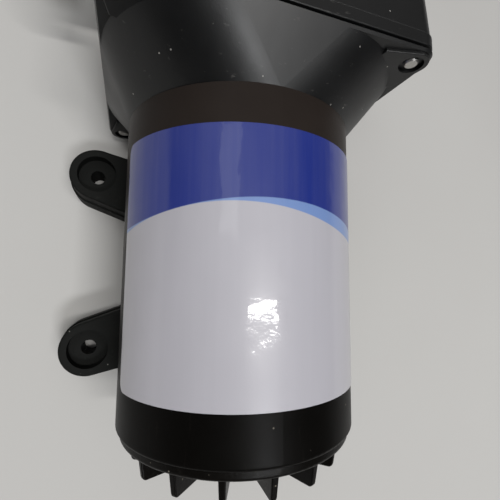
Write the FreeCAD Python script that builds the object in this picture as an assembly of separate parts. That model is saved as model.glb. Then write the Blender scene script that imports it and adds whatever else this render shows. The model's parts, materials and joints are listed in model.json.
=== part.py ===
import FreeCAD, Part
import math
import os

# A 12 V water pressure pump: a round motor with a finned rear cap, a flared housing that turns
# the round motor into a square head, a four-chamber diaphragm pump, two side ports and a
# pressure switch. Millimetres. The origin is on the floor, at the centre of the four screw
# holes of the feet. X points to the right, Y runs along the motor towards the head, Z is up.

# Driving dimensions of the motor
motor_radius = 35.0
can_front = 39.3
can_length = 87.4
can_wall = 2.2
fit_gap = 0.05
cut_over = 1.0
root = 1.0
shaft_radius = 4.0
shaft_rear_inset = 1.6
shaft_front_inset = 3.4
shaft_end_gap = 0.6
shaft_play = 1.0
plate_thickness = 3.0
rim_rounding = 1.0
soft_edge = 0.4

# Rear cap and its cooling fins
cap_step = 1.1
cap_thickness = 2.5
cap_spigot = 8.1
cap_spigot_wall = 3.6
fin_count = 16
fin_inset = 2.4
fin_taper = 1.3
fin_inner = 8.0
fin_height = 7.1
fin_thickness = 1.9
fin_tip_thickness = 1.5
fin_corner = 1.4
hub_height = 3.8
cap_floor = 3.1

# Label around the can
label_front_inset = 10.1
label_height = 65.2
label_half_angle = 75.6
label_thickness = 0.15
label_corner = 2.6

# Ball bearings of the shaft
bearing_outer = 11.0
bearing_width = 7.0
bearing_wall = 1.8
bearing_ball = 1.6
bearing_balls = 7
bearing_boss = 14.0
boss_lip = 1.0
bearing_stop = 2.0

# Magnets, armature and brushes
magnet_thickness = 6.4
magnet_half_angle = 60.0
magnet_setback = 23.0
magnet_front_inset = 13.8
air_gap = 0.8
core_rear_inset = 3.0
core_front_inset = 3.5
slot_count = 12
slot_inner = 13.0
tooth_tip = 3.1
slot_width = 4.4
slot_mouth = 2.0
winding_overhang = 6.0
winding_depth = 4.0
winding_rounding = 2.4
commutator_radius = 11.0
commutator_setback = 3.5
commutator_length = 15.0
commutator_slit = 0.6
commutator_slit_depth = 1.5
commutator_collar = 2.0
brush_plate_thickness = 2.5
brush_plate_gap = 0.2
brush_plate_bore_gap = 0.5
brush_width = 6.8
brush_depth = 7.8
brush_setback = 8.0
brush_wrap = 0.6
holder_wall = 1.2
holder_inner_end = 12.5
holder_inset = 4.8
brush_spring_radius = 2.4
brush_spring_wire = 0.5
brush_spring_length = 5.4
tie_inset = 3.3
tie_fin_count = 2.5
tie_screw_radius = 1.9
tie_head_radius = 3.4
tie_head_height = 2.4
driver_slot = 1.0
thread_gap = 0.3

# Lead gland in the can wall
gland_inset = 8.3
gland_angle = 110.0
gland_radius = 4.5
gland_flange = 1.6
gland_hole = 1.3
gland_hole_offset = 2.0

# Feet and base plate
foot_spacing_x = 92.0
foot_spacing_y = 64.5
foot_height = 17.8
foot_end_radius = 9.5
foot_outer_slope = 12.4
foot_inner_slope = 20.3
foot_inner_x = 19.0
foot_hole_radius = 2.6
foot_ledge = 0.6
ledge_height = 9.5
recess_radius = 6.8
recess_depth = 4.9
foot_edge = 0.9
base_half_x = 24.0
base_half_y = 34.0
base_bottom = 8.4
base_thickness = 2.0
base_corner = 1.2
tab_reach = 33.5
tab_width = 13.0
saddle_half_x = 18.0
saddle_half_y = 30.0
saddle_floor = 2.9
saddle_wrap = 14.0
base_screw_y = 21.0
base_screw_radius = 2.0
base_head_radius = 3.8
base_head_height = 2.5

# Lower housing, the flare between motor and head
flare_step = 0.6
flare_flat = 0.1
flare_length = 14.3
flare_corner = 28.5
flare_wall = 3.2
rear_wall = 3.0
flange_thickness = 0.7
head_half = 42.9
head_corner = 5.2
pad_height = 0.8
pad_length = 15.6
pad_edge = 0.25
pad_start_inset = 3.0
pad_end_inset = 0.7
pocket_radius = 3.3
pocket_depth = 1.0
motor_screw_inset = 8.8
motor_screw_radius = 2.0
motor_head_radius = 3.5
motor_head_height = 2.4
cam_hole = 12.0

# Corner screws of the head
screw_inset = 5.3
corner_screw_radius = 2.0
corner_head_radius = 3.6
corner_head_height = 2.8
head_rounding = 0.8
tip_chamfer = 0.4
screw_clearance = 0.25
screw_tip_inset = 0.2
socket_share = 0.5

# Wobble drive
wobble_angle = 4.0
cam_radius = 8.5
cam_setback = 1.7
journal_radius = 6.0
cam_bearing_radius = 12.0
cam_bearing_width = 6.0
cam_bearing_wall = 1.9
cam_bearing_ball = 1.05
cam_bearing_balls = 10
wobble_hub_wall = 3.5
wobble_drop = 1.6
bearing_lip = 1.0
bearing_lip_gap = 0.3
cam_hub_gap = 0.8
cam_shoulder = 2.5
chamber_wall = 1.8
piston_step = 2.7
piston_thickness = 5.0
arm_width = 10.0
arm_drop = 1.8
set_screw_radius = 1.5
set_screw_inset = 0.5
set_screw_socket = 1.5
retainer_step = 3.0
retainer_thickness = 2.6
retainer_rounding = 0.9
piston_screw_radius = 1.5
piston_head_radius = 2.8
piston_screw_bite = 4.2
piston_socket_radius = 0.9
piston_socket_depth = 1.0

# Diaphragm
diaphragm_thickness = 2.0
diaphragm_inset = 2.3
convolution_gap = 0.1
convolution_depth = 2.3
diaphragm_gap = 0.3

# Valve housing, the thin band of the head
parting_gap = 1.0
band_depth = 3.6
chamber_share = 0.75
chamber_height = 6.6
roof_thickness = 4.0
block_inset = 9.6
block_corner = 5.0
block_gap = 0.3
inlet_shift = 4.5
inlet_hole = 0.9
inlet_hole_ring = 2.8
inlet_hole_count = 6
outlet_hole = 1.1
outlet_shift = 2.34
outlet_hole_spacing = 3.0
flap_radius = 4.5
flap_thickness = 1.0
stem_radius = 1.0
bulb_radius = 1.6
bulb_length = 1.2
outlet_valve_cover = 2.7
outlet_valve_thickness = 1.2
outlet_stem_radius = 2.0
outlet_stem_length = 3.0
outlet_crown_radius = 4.0
outlet_split = 0.6
outlet_split_start = 5.0

# Upper housing
upper_lip = 0.3
upper_draft = 1.1
upper_corner = 5.0
upper_depth = 20.0
upper_edge = 1.6
cavity_depth = 17.0
divider_gap = 1.0
divider_wall = 2.5
seal_inset = 6.5
seal_width = 2.0
seal_corner = 6.0
seal_thickness = 1.0
manifold_inset = 9.9
manifold_half_z = 22.0
manifold_corner = 11.0
manifold_depth = 40.0
outlet_bore = 10.0
outlet_bore_stop = 6.0
inlet_duct_wall = 0.5
inlet_duct_radius = 4.5
gusset_thickness = 2.6
gusset_inset = 5.0
gusset_end = 6.0
gusset_places = (10.0, 26.0)
port_forward = 25.8
port_radius = 12.0
port_bore = 9.5
port_depth = 18.0
port_end = 58.5
port_root = 6.0
port_flange_radius = 14.5
port_flange_thickness = 2.5

# Check valve in the outlet
valve_bore = 7.5
seat_bore = 4.2
seat_x = 15.0
poppet_radius = 5.6
poppet_thickness = 2.0
poppet_stem = 1.8
poppet_stem_length = 17.0
nose_length = 2.0
nose_gap = 0.3
check_spring_radius = 3.9
check_spring_wire = 0.6
cage_x = 30.0
cage_thickness = 2.0
cage_openings = 3
cage_opening = 1.6

# Sliding port clips
clip_gap = 0.3
clip_lip = 2.4
clip_wall = 2.5
clip_reach = 5.0
clip_drop = 12.0
clip_tab_height = 4.0
clip_tab_width = 14.0
clip_tab_corner = 1.5
clip_edge = 0.7
clip_ridges = 3
clip_ridge_pitch = 2.6
clip_ridge_radius = 0.6

# Pressure switch
switch_boss_radius = 17.0
switch_boss_height = 2.0
switch_diaphragm_radius = 14.0
switch_diaphragm_thickness = 1.5
switch_port = 3.0
switch_half_x = 20.0
switch_half_z = 18.0
switch_corner = 5.0
switch_depth = 16.8
switch_wall = 3.0
switch_floor = 3.5
plunger_base_radius = 9.5
plunger_base_thickness = 1.0
plunger_recess = 2.0
plunger_radius = 4.5
plunger_gap = 0.5
post_wall = 2.0
collar_radius = 7.0
collar_thickness = 1.5
collar_lift = 2.8
tongue_width = 6.0
tongue_reach = 13.0
switch_spring_radius = 4.6
switch_spring_wire = 1.0
switch_spring_length = 6.6
plunger_tip_radius = 2.6
plunger_tip_length = 3.5
snap_half_x = 9.0
snap_top = 8.8
snap_bottom = 14.8
snap_depth = 5.5
snap_gap = 1.6
button_radius = 1.2
button_length = 3.2
button_gap = 0.1
button_floor = 1.2
terminal_thickness = 0.8
terminal_width = 4.0
terminal_spacing = 9.0
terminal_reach = 25.0
terminal_bite = 2.0
terminal_hole = 0.8
terminal_hole_inset = 2.5
keeper_gap = 0.2
cover_thickness = 3.0
cover_boss_radius = 9.5
cover_boss_height = 8.0
adjuster_radius = 6.0
adjuster_gap = 0.3
adjuster_out = 1.5
adjuster_socket = 2.5
adjuster_socket_depth = 4.0
adjuster_chamfer = 0.6
switch_screw_x = 15.5
switch_screw_z = 13.5
switch_screw_radius = 1.5
switch_head_radius = 2.8
switch_head_height = 2.2
switch_screw_bite = 6.0
switch_head_rounding = 0.6
cross_reach = 1.9
cross_half = 0.4
cross_depth = 1.0

# Places worked out from the driving dimensions
axis_height = base_bottom + base_thickness + saddle_floor + motor_radius
can_rear = can_front - can_length
can_inner = motor_radius - can_wall
cap_radius = motor_radius - cap_step
cap_rear = can_rear - cap_thickness
fin_radius = cap_radius - fin_inset
fin_pitch = 360.0 / fin_count
tie_angle = fin_pitch * tie_fin_count
tie_radius = can_inner - tie_inset
plate_rear = can_front - plate_thickness
spigot_front = can_rear + cap_spigot
label_front = can_front - label_front_inset
gland_y = can_front - gland_inset
motor_screw_circle = can_inner - motor_screw_inset
saddle_top = axis_height - motor_radius + saddle_wrap
lower_front = can_front + flare_length
flare_radius = motor_radius - flare_step
flange_rear = lower_front - flange_thickness
pad_rear = flange_rear - pad_height
corner_screw = head_half - screw_inset
upper_rear_half = head_half - upper_lip
upper_half = upper_rear_half - upper_draft
block_half = head_half - block_inset
seal_half = head_half - seal_inset
manifold_half_x = head_half - manifold_inset
band_rear = lower_front + parting_gap
band_front = band_rear + band_depth
sheet_front = lower_front + diaphragm_thickness
roof_inside = sheet_front + chamber_height
roof_front = roof_inside + roof_thickness
upper_front = band_front + upper_depth
cavity_front = band_front + cavity_depth
manifold_front = upper_front + manifold_depth
port_y = upper_front + port_forward
switch_rear = manifold_front + switch_boss_height
switch_front = switch_rear + switch_depth
cover_front = switch_front + cover_thickness
collar_rear = switch_rear + switch_floor + collar_lift
collar_front = collar_rear + collar_thickness
spring_front = collar_front + switch_spring_length
snap_rear = collar_front + snap_gap

# The motor's inside
shaft_rear = can_rear + shaft_rear_inset
shaft_front = lower_front - shaft_front_inset
magnet_rear = spigot_front + magnet_setback
magnet_front = can_front - magnet_front_inset
core_radius = can_inner - magnet_thickness - air_gap
core_rear = magnet_rear + core_rear_inset
core_front = magnet_front - core_front_inset
slot_outer = core_radius - tooth_tip
commutator_rear = spigot_front + commutator_setback
brush_y = spigot_front + brush_setback
brush_start = commutator_radius - brush_wrap
holder_outer_end = can_inner - holder_inset
brush_end = holder_outer_end - holder_wall - brush_spring_length

# The pump's inside
cam_rear = can_front + cam_setback
set_screw_y = cam_rear + set_screw_radius + set_screw_inset
piston_offset = (block_half - chamber_wall) / (1.0 + chamber_share)
chamber_radius = piston_offset * chamber_share
convolution_radius = chamber_radius - convolution_gap
centre_radius = chamber_radius - convolution_depth
piston_radius = chamber_radius - piston_step
retainer_radius = chamber_radius - retainer_step
piston_distance = piston_offset * math.sqrt(2.0)
inlet_offset = piston_offset + inlet_shift
outlet_hole_ring = piston_distance - chamber_radius + outlet_shift
outlet_valve_radius = outlet_hole_ring + outlet_valve_cover
divider_inner = outlet_valve_radius + divider_gap
divider_outer = divider_inner + divider_wall
inlet_duct_x = divider_outer + inlet_duct_radius + inlet_duct_wall


def vec(x, y, z):
    return FreeCAD.Vector(x, y, z)


def rod(radius, start, end, x=0.0, z=0.0):
    # cylinder along Y, placed from the motor axis
    return Part.makeCylinder(radius, end - start, vec(x, start, axis_height + z), vec(0, 1, 0))


def rod_x(radius, start, end, y, z=0.0):
    return Part.makeCylinder(radius, end - start, vec(start, y, axis_height + z), vec(1, 0, 0))


def rod_z(radius, start, end, x, y):
    return Part.makeCylinder(radius, end - start, vec(x, y, start), vec(0, 0, 1))


def block(x_range, y_range, z_range):
    # box between the given limits, with Z counted from the floor
    size = [b - a for a, b in (x_range, y_range, z_range)]
    return Part.makeBox(size[0], size[1], size[2], vec(x_range[0], y_range[0], z_range[0]))


def axis_block(x_range, y_range, z_range):
    # box between the given limits, with Z counted from the motor axis
    return block(x_range, y_range, (axis_height + z_range[0], axis_height + z_range[1]))


def ring(outer, inner, start, end, x=0.0, z=0.0):
    return rod(outer, start, end, x, z).cut(rod(inner, start, end, x, z))


def edges_along(shape, axis):
    # straight edges that run along one axis: 0 is X, 1 is Y, 2 is Z
    found = []
    for edge in shape.Edges:
        if not isinstance(edge.Curve, (Part.Line, Part.LineSegment)):
            continue
        span = edge.Vertexes[-1].Point.sub(edge.Vertexes[0].Point)
        across = [abs(span[i]) for i in range(3) if i != axis]
        if max(across) < 1e-6:
            found.append(edge)
    return found


def rounded(half_x, half_z, corner, start, end):
    # block with rounded corners about the motor axis
    body = axis_block((-half_x, half_x), (start, end), (-half_z, half_z))
    return body.makeFillet(corner, edges_along(body, 1))


def turned(shape, angle):
    # copy turned about the motor axis, clockwise from the top as seen from the rear
    copy = shape.copy()
    copy.rotate(vec(0, 0, axis_height), vec(0, 1, 0), angle)
    return copy


def tilted(shape):
    # copy leaned with the cam, about the centre of the wobble plane
    copy = shape.copy()
    copy.rotate(vec(0, lower_front, axis_height), vec(1, 0, 0), wobble_angle)
    return copy


def joined(shapes):
    body = shapes[0].fuse(shapes[1:]) if len(shapes) > 1 else shapes[0]
    return body.removeSplitter()


def group(shapes):
    return Part.makeCompound(shapes)


def corners(offset_x, offset_z=None):
    # the four places around the axis, mirrored both ways
    offset_z = offset_x if offset_z is None else offset_z
    return [(sx * offset_x, sz * offset_z) for sx in (1, -1) for sz in (1, -1)]


def edges_at(shape, y):
    # edges that lie whole in one plane across the motor axis
    return [e for e in shape.Edges if abs(e.BoundBox.YMin - y) < 1e-6 and abs(e.BoundBox.YMax - y) < 1e-6]


def circles_at(shape, y):
    return [e for e in edges_at(shape, y) if isinstance(e.Curve, Part.Circle)]


def biarc(start, start_way, end, end_way):
    # two arcs that join two points, tangent to the given unit directions
    gap = end.sub(start)
    square = 2.0 * (start_way.dot(end_way) - 1.0)
    linear = -2.0 * gap.dot(start_way.add(end_way))
    reach = (-linear - math.sqrt(linear ** 2 - 4.0 * square * gap.dot(gap))) / (2.0 * square)
    first_corner = start.add(start_way * reach)
    second_corner = end.sub(end_way * reach)
    joint = (first_corner + second_corner) * 0.5
    edges = []
    for a, corner, b in ((start, first_corner, joint), (joint, second_corner, end)):
        share = 2.0 * math.cos(corner.sub(a).getAngle(b.sub(a)))
        middle = (a + b + corner * share) * (1.0 / (2.0 + share))
        edges.append(Part.Arc(a, middle, b).toShape())
    return edges


def coil(radius, wire, length, start, direction):
    # compression spring as one round wire
    turns = max(3.0, length / (wire * 3.0))
    quarters = math.ceil(4.0 * turns)
    rise = (length - wire) / quarters

    def place(i):
        a = math.pi / 2.0 * i
        return vec(radius * math.cos(a), radius * math.sin(a), wire / 2.0 + rise * i)

    def way(i):
        a = math.pi / 2.0 * i
        along = vec(-radius * math.sin(a), radius * math.cos(a), rise / (math.pi / 2.0))
        return along.normalize()

    path = []
    for i in range(quarters):
        path += biarc(place(i), way(i), place(i + 1), way(i + 1))
    profile = Part.Wire([Part.makeCircle(wire / 2.0, place(0), way(0))])
    spring = Part.Wire(path).makePipeShell([profile], True, False)
    turn = FreeCAD.Rotation(vec(0, 0, 1), direction)
    spring.Placement = FreeCAD.Placement(start, turn).multiply(spring.Placement)
    return spring


# Motor case

def motor_can():
    body = ring(motor_radius, can_inner, can_rear, can_front)
    rear_edge = [e for e in circles_at(body, can_rear) if e.Curve.Radius > can_inner + fit_gap]
    body = body.makeFillet(rim_rounding, rear_edge)
    hole = turned(rod_z(gland_radius, axis_height, axis_height + 2 * motor_radius, 0, gland_y),
                  gland_angle)
    body = body.cut(hole)
    for side in (-1, 1):
        screw_way = rod_z(base_screw_radius, 0, axis_height, 0, side * base_screw_y)
        body = body.cut(screw_way)
    return body


def fin():
    # one plate pointing up, thinner and shorter towards its free edge, with soft edges
    base = cap_rear + root / 2.0
    tip = cap_rear - fin_height
    bottom = axis_height + fin_inner - root
    outlines = []
    for y, half, reach in ((base, fin_thickness / 2.0, fin_radius),
                           (tip, fin_tip_thickness / 2.0, fin_radius - fin_taper)):
        top = axis_height + reach
        points = [vec(-half, y, bottom), vec(half, y, bottom), vec(half, y, top), vec(-half, y, top)]
        outlines.append(Part.makePolygon(points + points[:1]))
    plate = Part.makeLoft(outlines, True, True)
    tip_edges = [e for e in edges_along(plate, 0) if e.CenterOfMass.z > bottom + root]
    plate = plate.makeFillet(fin_corner, [e for e in tip_edges if e.CenterOfMass.y < tip + root])
    soft = [e for e in plate.Edges if abs(e.Vertexes[0].Point.x - e.Vertexes[-1].Point.x) < soft_edge
            and e.CenterOfMass.y < base - fit_gap and e.CenterOfMass.z > bottom + fit_gap]
    return plate.makeFillet(soft_edge, soft)


def tie_places():
    spots = []
    for angle in (tie_angle, tie_angle + 180.0):
        a = math.radians(angle)
        spots.append((tie_radius * math.sin(a), tie_radius * math.cos(a)))
    return spots


def rear_cap():
    disc = rod(cap_radius, cap_rear, can_rear)
    disc = disc.makeFillet(rim_rounding, circles_at(disc, cap_rear))
    spigot_radius = can_inner - fit_gap
    spigot = ring(spigot_radius, spigot_radius - cap_spigot_wall, can_rear, spigot_front)
    boss_front = bearing_rear() + bearing_width
    boss = rod(bearing_boss, can_rear, boss_front)
    hub = rod(fin_inner, cap_rear - hub_height, cap_rear)
    fins = [turned(fin(), i * fin_pitch) for i in range(fin_count)]
    body = joined([disc, spigot, boss, hub] + fins)
    body = body.cut(rod(bearing_outer, bearing_rear(), boss_front))
    body = body.cut(rod(shaft_radius + shaft_play, shaft_rear - shaft_end_gap, bearing_rear()))
    for x, z in tie_places():
        body = body.cut(rod(tie_screw_radius + screw_clearance, cap_rear, spigot_front, x, z))
    return body


def motor_front_plate():
    boss_rear = plate_rear - bearing_width
    plate = rod(can_inner - fit_gap, plate_rear, can_front)
    body = joined([plate, rod(bearing_boss, boss_rear, plate_rear)])
    body = body.cut(rod(bearing_outer, boss_rear + boss_lip, can_front))
    body = body.cut(rod(bearing_outer - bearing_stop, boss_rear, can_front))
    for x, z in tie_places():
        body = body.cut(rod(tie_screw_radius, plate_rear, can_front, x, z))
    for x, z in motor_screw_places():
        body = body.cut(rod(motor_screw_radius, plate_rear, can_front, x, z))
    return body


def motor_tie_screws():
    screws = []
    for x, z in tie_places():
        shank = rod(tie_screw_radius, cap_rear, can_front - thread_gap, x, z)
        head = rod(tie_head_radius, cap_rear - tie_head_height, cap_rear, x, z)
        slot = axis_block((x - tie_head_radius, x + tie_head_radius),
                          (cap_rear - tie_head_height, cap_rear - tie_head_height / 2.0),
                          (z - driver_slot / 2.0, z + driver_slot / 2.0))
        screws.append(joined([shank, head]).cut(slot))
    return group(screws)


def label():
    # thin sheet wrapped over the top of the can, with rounded corners
    inner = motor_radius + fit_gap
    outer = inner + label_thickness
    rear = label_front - label_height
    points = [vec(0, rear, inner), vec(0, label_front, inner),
              vec(0, label_front, outer), vec(0, rear, outer)]
    face = Part.Face(Part.makePolygon(points + points[:1]))
    face.rotate(vec(0, 0, 0), vec(0, 1, 0), -label_half_angle)
    sheet = face.revolve(vec(0, 0, 0), vec(0, 1, 0), 2 * label_half_angle)
    sheet.translate(vec(0, 0, axis_height))
    short = [e for e in sheet.Edges if e.Length < 2 * label_thickness]
    return sheet.makeFillet(label_corner, short)


def lead_gland():
    collar_out = motor_radius + gland_flange
    collar_in = can_inner - gland_flange
    body = rod_z(gland_radius, axis_height + collar_in, axis_height + collar_out, 0, gland_y)
    flange = rod_z(gland_radius + gland_flange, axis_height + motor_radius - gland_flange,
                   axis_height + collar_out, 0, gland_y)
    flange = flange.cut(rod(motor_radius, can_rear, can_front))
    body = joined([body, flange])
    for side in (-1, 1):
        way = rod_z(gland_hole, axis_height + collar_in, axis_height + collar_out, 0,
                    gland_y + side * gland_hole_offset)
        body = body.cut(way)
    return turned(body, gland_angle)


# Bearings and rotor

def bearing_rear():
    return can_rear + cap_floor


def front_bearing_rear():
    return plate_rear - bearing_width + boss_lip


def ball_set(pitch, ball, count, middle):
    balls = []
    for i in range(count):
        a = 2 * math.pi * i / count
        place = vec(pitch * math.sin(a), middle, axis_height + pitch * math.cos(a))
        balls.append(Part.makeSphere(ball, place))
    return balls


def shaft_bearing(start):
    outer = ring(bearing_outer, bearing_outer - bearing_wall, start, start + bearing_width)
    pitch = bearing_outer - bearing_wall - bearing_ball - fit_gap
    return group([outer] + ball_set(pitch, bearing_ball, bearing_balls, start + bearing_width / 2.0))


def shaft_bearing_inner(start):
    inner_radius = bearing_outer - bearing_wall - 2 * bearing_ball - 2 * fit_gap
    return ring(inner_radius, shaft_radius, start, start + bearing_width)


def motor_shaft():
    return rod(shaft_radius, shaft_rear, shaft_front)


def winding_bar():
    # the space of one slot, which the copper fills
    return axis_block((-slot_width / 2, slot_width / 2), (core_rear, core_front), (slot_inner, slot_outer))


def armature_core():
    body = ring(core_radius, shaft_radius, core_rear, core_front)
    cuts = []
    for i in range(slot_count):
        mouth = axis_block((-slot_mouth / 2, slot_mouth / 2), (core_rear, core_front),
                           (slot_outer - root / 2.0, core_radius + cut_over))
        cuts.append(turned(winding_bar().fuse(mouth), i * 360.0 / slot_count))
    return body.cut(cuts)


def armature_windings():
    # copper in the slots and the two end turns, as one wound body
    bars = [turned(winding_bar(), i * 360.0 / slot_count) for i in range(slot_count)]
    inner = slot_inner - winding_depth
    ends = []
    for inside, outside in ((core_rear, core_rear - winding_overhang),
                            (core_front, core_front + winding_overhang)):
        end_turn = ring(slot_outer, inner, min(inside, outside), max(inside, outside))
        rim = [e for e in circles_at(end_turn, outside) if e.Curve.Radius > inner + fit_gap]
        ends.append(end_turn.makeFillet(winding_rounding, rim))
    return joined(ends + bars)


def commutator():
    body = ring(commutator_radius, shaft_radius, commutator_rear, commutator_rear + commutator_length)
    slits = []
    for i in range(slot_count):
        slit = axis_block((-commutator_slit / 2, commutator_slit / 2),
                          (commutator_rear, commutator_rear + commutator_length - commutator_collar),
                          (commutator_radius - commutator_slit_depth, commutator_radius + cut_over))
        slits.append(turned(slit, (i + 0.5) * 360.0 / slot_count))
    return body.cut(slits)


def magnets():
    outer = can_inner
    inner = can_inner - magnet_thickness
    arcs = []
    for middle in (90.0 + tie_angle, 270.0 + tie_angle):
        points = [vec(0, magnet_rear, inner), vec(0, magnet_front, inner),
                  vec(0, magnet_front, outer), vec(0, magnet_rear, outer)]
        face = Part.Face(Part.makePolygon(points + points[:1]))
        face.rotate(vec(0, 0, 0), vec(0, 1, 0), middle - magnet_half_angle)
        arc = face.revolve(vec(0, 0, 0), vec(0, 1, 0), 2 * magnet_half_angle)
        arc.translate(vec(0, 0, axis_height))
        arcs.append(arc)
    return group(arcs)


def brush_plate():
    front = spigot_front + brush_plate_thickness
    body = ring(can_inner - brush_plate_gap, bearing_boss + brush_plate_bore_gap, spigot_front, front)
    for x, z in tie_places():
        body = body.cut(rod(tie_screw_radius + screw_clearance, spigot_front, front, x, z))
    return body


def holder_box(side):
    x_range = (holder_inner_end, holder_outer_end) if side > 0 else (-holder_outer_end, -holder_inner_end)
    rear = spigot_front + brush_plate_thickness
    front = brush_y + brush_depth / 2 + holder_wall
    half_z = brush_width / 2 + holder_wall
    return axis_block(x_range, (rear, front), (-half_z, half_z))


def brush_holders():
    holders = []
    for side in (1, -1):
        cavity_end = side * (holder_outer_end - holder_wall)
        x_range = (min(0, cavity_end), max(0, cavity_end))
        half_y = brush_depth / 2 + fit_gap
        half_z = brush_width / 2 + fit_gap
        cavity = axis_block(x_range, (brush_y - half_y, brush_y + half_y), (-half_z, half_z))
        holders.append(holder_box(side).cut(cavity))
    return group(holders)


def carbon_brushes():
    brushes = []
    for side in (1, -1):
        x_range = (brush_start, brush_end) if side > 0 else (-brush_end, -brush_start)
        brush = axis_block(x_range, (brush_y - brush_depth / 2, brush_y + brush_depth / 2),
                           (-brush_width / 2, brush_width / 2))
        track = rod(commutator_radius + fit_gap, brush_y - brush_depth, brush_y + brush_depth)
        brushes.append(brush.cut(track))
    return group(brushes)


def brush_springs():
    springs = []
    for side in (1, -1):
        springs.append(coil(brush_spring_radius, brush_spring_wire, brush_spring_length,
                            vec(side * brush_end, brush_y, axis_height), vec(side, 0, 0)))
    return group(springs)


# Base and feet

def foot_outline(bottom, height, grow):
    # teardrop ear of the front left foot, widening towards the motor
    cx = -foot_spacing_x / 2.0
    cy = foot_spacing_y / 2.0
    outer = math.radians(foot_outer_slope)
    inner = math.radians(foot_inner_slope)
    r = foot_end_radius + grow
    outer_start = vec(cx + r * math.sin(outer), cy + r * math.cos(outer), bottom)
    inner_start = vec(cx - r * math.sin(inner), cy - r * math.cos(inner), bottom)
    end_x = -foot_inner_x
    outer_end = vec(end_x, outer_start.y - (end_x - outer_start.x) * math.tan(outer), bottom)
    inner_end = vec(end_x, inner_start.y - (end_x - inner_start.x) * math.tan(inner), bottom)
    tip = vec(cx - r, cy, bottom)
    edges = [Part.Arc(outer_start, tip, inner_start).toShape(),
             Part.LineSegment(inner_start, inner_end).toShape(),
             Part.LineSegment(inner_end, outer_end).toShape(),
             Part.LineSegment(outer_end, outer_start).toShape()]
    return Part.Face(Part.Wire(edges)).extrude(vec(0, 0, height))


def base_plate_blank(grow):
    body = block((-base_half_x - grow, base_half_x + grow), (-base_half_y - grow, base_half_y + grow),
                 (base_bottom - grow, base_bottom + base_thickness + grow))
    tabs = []
    outer_y = foot_spacing_y / 2.0
    for sy in (1, -1):
        y_range = sorted((sy * outer_y, sy * (outer_y - tab_width)))
        tabs.append(block((-tab_reach - grow, tab_reach + grow), (y_range[0] - grow, y_range[1] + grow),
                          (base_bottom - grow, base_bottom + base_thickness + grow)))
    return joined([body] + tabs)


def base_plate():
    body = base_plate_blank(0.0)
    outer = [e for e in edges_along(body, 2) if abs(e.CenterOfMass.x) > tab_reach - 0.01
             or abs(e.CenterOfMass.y) > base_half_y - 0.01]
    body = body.makeFillet(base_corner, outer)
    for side in (-1, 1):
        body = body.cut(rod_z(base_screw_radius + screw_clearance, 0, axis_height, 0, side * base_screw_y))
    return body


def saddle():
    body = block((-saddle_half_x, saddle_half_x), (-saddle_half_y, saddle_half_y),
                 (base_bottom + base_thickness, saddle_top))
    body = body.cut(rod(motor_radius, can_rear, can_front))
    for side in (-1, 1):
        body = body.cut(rod_z(base_screw_radius + screw_clearance, 0, axis_height, 0, side * base_screw_y))
    return body


def base_screws():
    screws = []
    top = axis_height - can_inner - thread_gap
    for side in (-1, 1):
        y = side * base_screw_y
        shank = rod_z(base_screw_radius, base_bottom, top, 0, y)
        head = rod_z(base_head_radius, base_bottom - base_head_height, base_bottom, 0, y)
        slot = block((-base_head_radius, base_head_radius), (y - driver_slot / 2, y + driver_slot / 2),
                     (base_bottom - base_head_height, base_bottom - base_head_height / 2))
        screws.append(joined([shank, head]).cut(slot))
    return group(screws)


def foot(sx, sy):
    steps = []
    for height, grow, edge in ((foot_height, 0.0, foot_edge), (ledge_height, foot_ledge, soft_edge)):
        step = foot_outline(0.0, height, grow)
        top_edges = [e for e in step.Edges if abs(e.BoundBox.ZMin - height) < 1e-6
                     and abs(e.CenterOfMass.x + foot_inner_x) > 1e-6]
        steps.append(step.makeFillet(edge, top_edges))
    body = joined(steps)
    cx = -foot_spacing_x / 2.0
    cy = foot_spacing_y / 2.0
    body = body.cut(rod_z(recess_radius, foot_height - recess_depth, foot_height + cut_over, cx, cy))
    body = body.cut(rod_z(foot_hole_radius, -cut_over, foot_height, cx, cy))
    body = body.cut(base_plate_blank(fit_gap))
    if sx > 0:
        body = body.mirror(vec(0, 0, 0), vec(1, 0, 0))
    if sy < 0:
        body = body.mirror(vec(0, 0, 0), vec(0, 1, 0))
    return body


# Lower housing

def motor_screw_places():
    offset = motor_screw_circle / math.sqrt(2.0)
    return corners(offset)


def rounded_outline(half, corner, y):
    # square wire with rounded corners, across the motor axis
    flat = half - corner
    middle = flat + corner / math.sqrt(2.0)
    edges = []
    for i in range(4):
        side = Part.LineSegment(vec(-flat, y, half), vec(flat, y, half)).toShape()
        bend = Part.Arc(vec(flat, y, half), vec(middle, y, middle), vec(half, y, flat)).toShape()
        for edge in (side, bend):
            edge.rotate(vec(0, 0, 0), vec(0, 1, 0), 90.0 * i)
            edge.translate(vec(0, 0, axis_height))
            edges.append(edge)
    return Part.Wire(edges)


def flare_size(y, inset):
    # half width and corner radius of the flare at one place along the axis
    share = (y - can_front) / flare_length
    start_corner = flare_radius - flare_flat
    half = flare_radius + share * (head_half - flare_radius)
    corner = start_corner + share * (flare_corner - start_corner)
    return half - inset, corner - inset


def flared(start, end, inset):
    outlines = [rounded_outline(*flare_size(y, inset), y) for y in (start, end)]
    return Part.makeLoft(outlines, True, True)


def corner_flange():
    # thin square plate at the end of the flare, its sides in line with the flare's flats
    rear_half = flare_size(flange_rear, 0.0)[0]
    outlines = [rounded_outline(rear_half, head_corner, flange_rear),
                rounded_outline(head_half, head_corner, lower_front)]
    return Part.makeLoft(outlines, True, True)


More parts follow.
